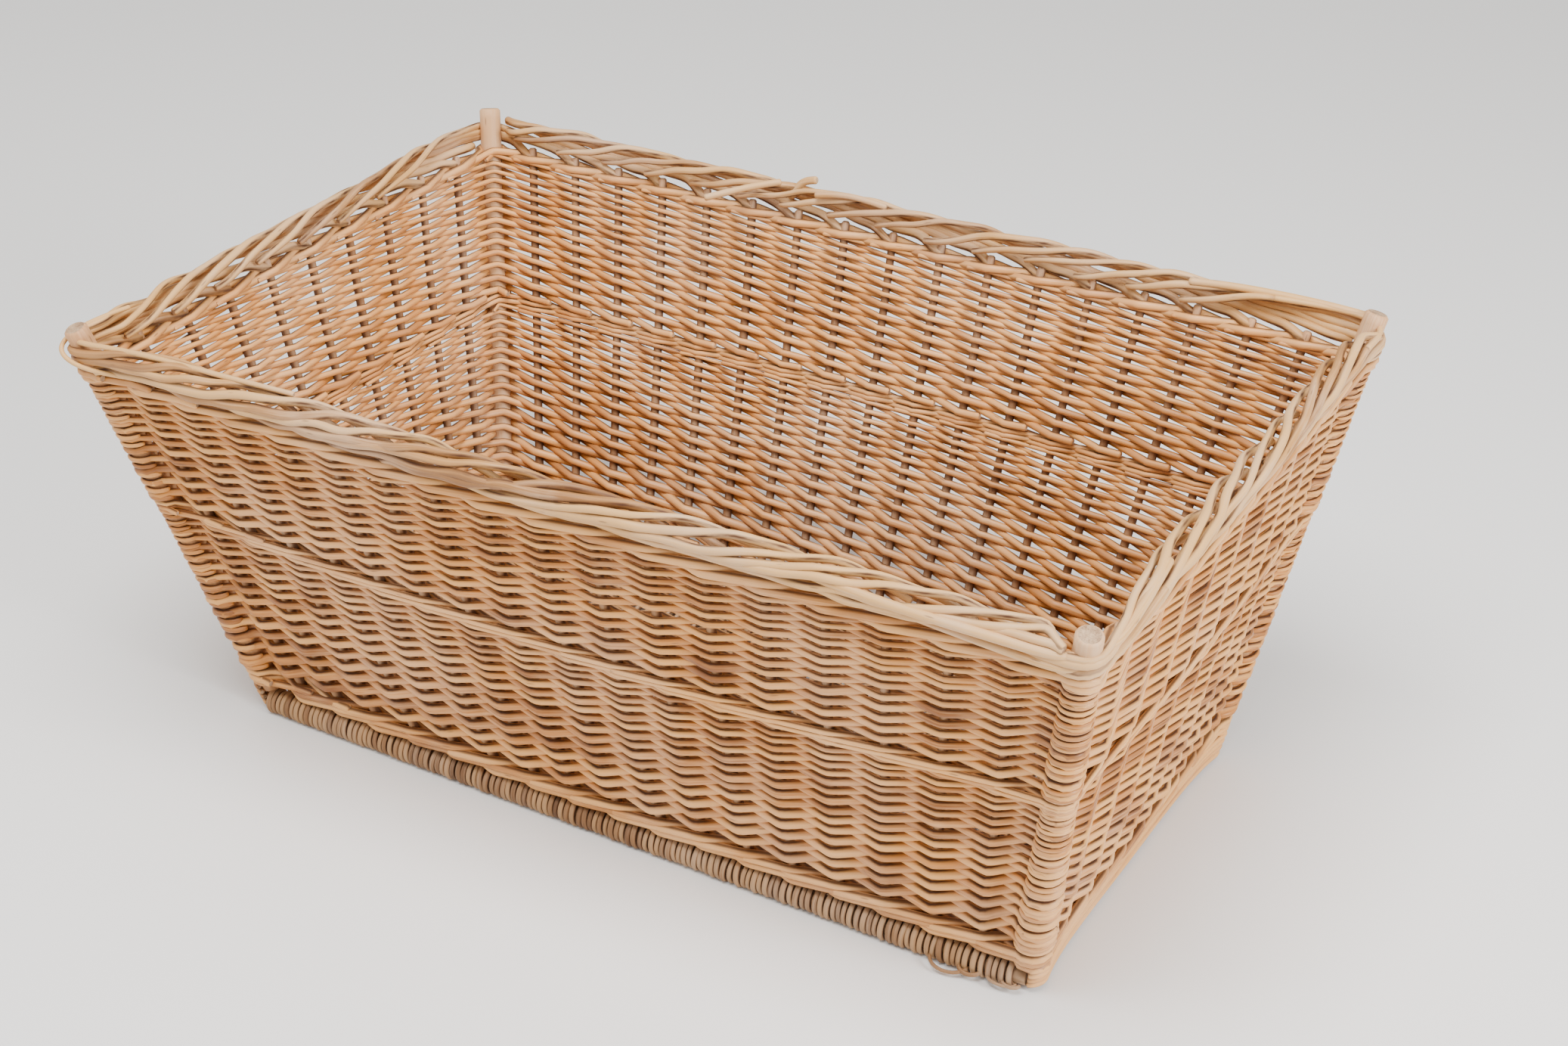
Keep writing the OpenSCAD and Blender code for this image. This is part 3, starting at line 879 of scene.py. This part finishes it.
def base_roll(name, seed):
    """The base's rods where they turn round an edge stick: hooks side by side, each over the
    stick, down its outer face and back under it, a little askew. Angle 0 is the top."""
    random = generator(seed)
    x_low, x_high, y, z, radius, stick_r = roll_place(name)
    rod_r = (radius - stick_r) / 2
    thickness = random.uniform(0.82, 1.06, ROLL_RODS) * 2 * rod_r
    wide = random.uniform(0, 1, ROLL_RODS) < WIDE_SHARE
    x = x_low + np.cumsum(thickness + np.where(wide, WIDE_GAP, THIN_GAP))
    keep = x < x_high - 2 * rod_r
    x, r = x[keep][:, None], thickness[keep][:, None] / 2
    rods = len(x)
    angle = np.pi * np.linspace(-0.3, 1.3, 27)[None]
    skew = random.normal(1.5 * MM, 1.2 * MM, (rods, 1))
    reach = stick_r + r + random.uniform(0, 0.5 * MM, (rods, 1))
    way = np.sign(y)
    path = np.stack(np.broadcast_arrays(
        x + skew * (angle / np.pi - 0.5),
        y + way * reach * np.sin(angle),
        np.maximum(z + reach * np.cos(angle), r),
    ), axis=-1)
    refs = np.broadcast_to(np.array([1.0, 0, 0]), path.shape)
    out = np.stack(np.broadcast_arrays(0 * x, way * np.sin(angle), np.cos(angle)), axis=-1)
    made = rods_of(path, r, refs, random.uniform(0, 1, (rods, 1)), 0.9, 1.0, out)
    make_piece(f"base_roll_turns_{name}", [made], BASE_SKIN, "base_weavers", "base_roll_" + name)


def edge_stick(name, seed):
    """The thick stick inside a roll, cut square at both ends."""
    random = generator(seed)
    low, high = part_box("base_edge_stick_" + name)
    x = np.linspace(low.x, high.x, 60)[None]
    middle = (low + high) / 2
    r = (high.z - low.z) / 2 * (0.97 + wander(random, 1, x * 8, 0.03))
    path = np.stack([x, 0 * x + middle.y, 0 * x + middle.z], axis=-1)
    refs = np.broadcast_to(UP, path.shape)
    made = rods_of(path, r, refs, 0.4, 0.5, 0.8, None, 16, 0.1)
    make_piece("edge_stick_rod_" + name, [made], BASE_SKIN, "base_sticks", "base_edge_stick_" + name)


def inner_sticks(seed):
    """The thinner sticks through the mat, from end to end."""
    random = generator(seed)
    low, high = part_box("base_inner_sticks")
    r = (high.z - low.z) / 2
    x = np.linspace(low.x - TUCK, high.x + TUCK, 40)[None]
    y = np.linspace(low.y + r, high.y - r, INNER_STICKS)[:, None]
    x, y = np.broadcast_arrays(x, y)
    path = np.stack([x, y, 0 * x + (low.z + high.z) / 2], axis=-1)
    radii = r * (0.95 + wander(random, INNER_STICKS, x * 8, 0.03))
    refs = np.broadcast_to(UP, path.shape)
    made = rods_of(path, radii, refs, random.uniform(0, 1, (INNER_STICKS, 1)), 0.5, 0.8, None, 10, 0.1)
    make_piece("inner_stick_rods", [made], BASE_SKIN, "base_sticks", "base_inner_sticks")


def base_mat(seed):
    """The rods across the base, over and under the sticks by turns: z swings by a cosine
    whose half wave is the spacing of the sticks, the other way on every second rod."""
    random = generator(seed)
    low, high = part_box("base_weave")
    sticks_low, sticks_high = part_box("base_inner_sticks")
    stick_r = (sticks_high.z - sticks_low.z) / 2
    rod_r = ((high.z - low.z) / 2 - stick_r) / 2
    half_wave = (sticks_high.y - sticks_low.y - 2 * stick_r) / (INNER_STICKS - 1)
    half_length = high.x + TUCK - rod_r
    rods = int(2 * half_length / (2.3 * rod_r))
    x = np.linspace(-half_length, half_length, rods)[:, None]
    y = np.linspace(low.y, high.y, 57)[None]
    way = np.where(np.arange(rods) % 2, 1.0, -1.0)[:, None]
    r = rod_r * random.uniform(0.9, 1.1, (rods, 1)) + 0 * y
    swing = way * (stick_r + r) * np.cos(np.pi * (y - sticks_low.y - stick_r) / half_wave)
    drift = wander(random, rods, y * 8, 0.6 * MM)
    middle = (sticks_low.z + sticks_high.z) / 2
    path = np.stack(np.broadcast_arrays(x + drift, y, middle + swing), axis=-1)
    refs = np.broadcast_to(np.array([1.0, 0, 0]), path.shape)
    out = np.broadcast_to(UP, path.shape)
    made = rods_of(path, r, refs, random.uniform(0, 1, (rods, 1)), 0.6, 0.9, out, 7)
    make_piece("base_mat_rods", [made], BASE_SKIN, "base_weavers", "base_weave")


def frayed_ends():
    """Ends of the base's rods that have worked out of the front roll near its right end, as
    half circles of points that stand out in front of it."""
    _, x_high, y, z, radius, _ = roll_place("front")
    angle = np.linspace(0, np.pi, 16)
    bundles = []
    for back, width, reach, r in FRAYED:
        x = x_high - back * MM + width * MM * np.cos(angle)
        out = y - radius * 0.75 - reach * MM * np.sin(angle)
        up = z - radius * 0.25 + (2 - reach * 0.4) * MM * np.sin(angle)
        path = np.stack([x, out, up], axis=-1)[None]
        refs = np.broadcast_to(UP, path.shape)
        bundles.append(rods_of(path, r * MM, refs, 0.3, 0.9, 0.9, None, 8))
    make_piece("frayed_roll_rods", bundles, BASE_SKIN, "base_weavers")


frayed_ends()
for number, edge in enumerate(("front", "back")):
    base_roll(edge, 80 + number)
    edge_stick(edge, 82 + number)
inner_sticks(84)
base_mat(85)


# ---------------------------------------------------------------- floor, light and camera
def pale_floor():
    """A large level square in matt off-white."""
    half = 6.0
    mesh = bpy.data.meshes.new("floor")
    corners = [(-half, -half, 0), (half, -half, 0), (half, half, 0), (-half, half, 0)]
    mesh.from_pydata(corners, [], [(0, 1, 2, 3)])
    floor = bpy.data.objects.new("floor", mesh)
    bpy.context.scene.collection.objects.link(floor)
    shades = Shades("pale_floor")
    shades.shader.inputs["Base Color"].default_value = (0.80, 0.79, 0.775, 1)
    shades.shader.inputs["Roughness"].default_value = 0.7
    mesh.materials.append(shades.material)


def soft_light(name, place, aim, size, watts):
    """A square area light at place, turned to aim."""
    data = bpy.data.lights.new(name, "AREA")
    data.size = size
    data.energy = watts
    lamp = bpy.data.objects.new(name, data)
    bpy.context.scene.collection.objects.link(lamp)
    turn = (Vector(aim) - Vector(place)).to_track_quat("-Z", "Y").to_matrix().to_4x4()
    lamp.matrix_world = Matrix.Translation(place) @ turn


def studio():
    """Soft light from above and from the right, and a pale room all round."""
    middle = (0, 0, BASKET_H / 2)
    soft_light("key", (2.7, -0.5, 1.5), middle, 1.0, 105)
    soft_light("top", (0.2, -0.9, 2.9), middle, 1.6, 128)
    soft_light("fill", (-2.4, -1.7, 1.3), middle, 2.0, 26)
    world = bpy.data.worlds.new("studio")
    world.use_nodes = True
    world.node_tree.nodes["Background"].inputs["Color"].default_value = (1.0, 0.985, 0.965, 1)
    world.node_tree.nodes["Background"].inputs["Strength"].default_value = 0.8
    bpy.context.scene.world = world


# where the camera is, in basket heights
EYE = (2.439, -3.974, 3.245)


def camera():
    """In front of the right-hand end, looking down on the basket. Azimuth turns from the
    front to the right, and the back of the camera points away from what it sees."""
    place = np.array(EYE) * BASKET_H
    azimuth, elevation, roll = np.radians([30.22, 30.23, 0.27])
    data = bpy.data.cameras.new("camera")
    data.lens = 58.95
    data.sensor_width = 36.0
    view = bpy.data.objects.new("camera", data)
    bpy.context.scene.collection.objects.link(view)
    back = Vector((
        np.sin(azimuth) * np.cos(elevation),
        -np.cos(azimuth) * np.cos(elevation),
        np.sin(elevation),
    ))
    turn = (-back).to_track_quat("-Z", "Y").to_matrix().to_4x4()
    view.matrix_world = Matrix.Translation(place) @ turn @ Matrix.Rotation(roll, 4, "Z")
    bpy.context.scene.camera = view


pale_floor()
studio()
camera()
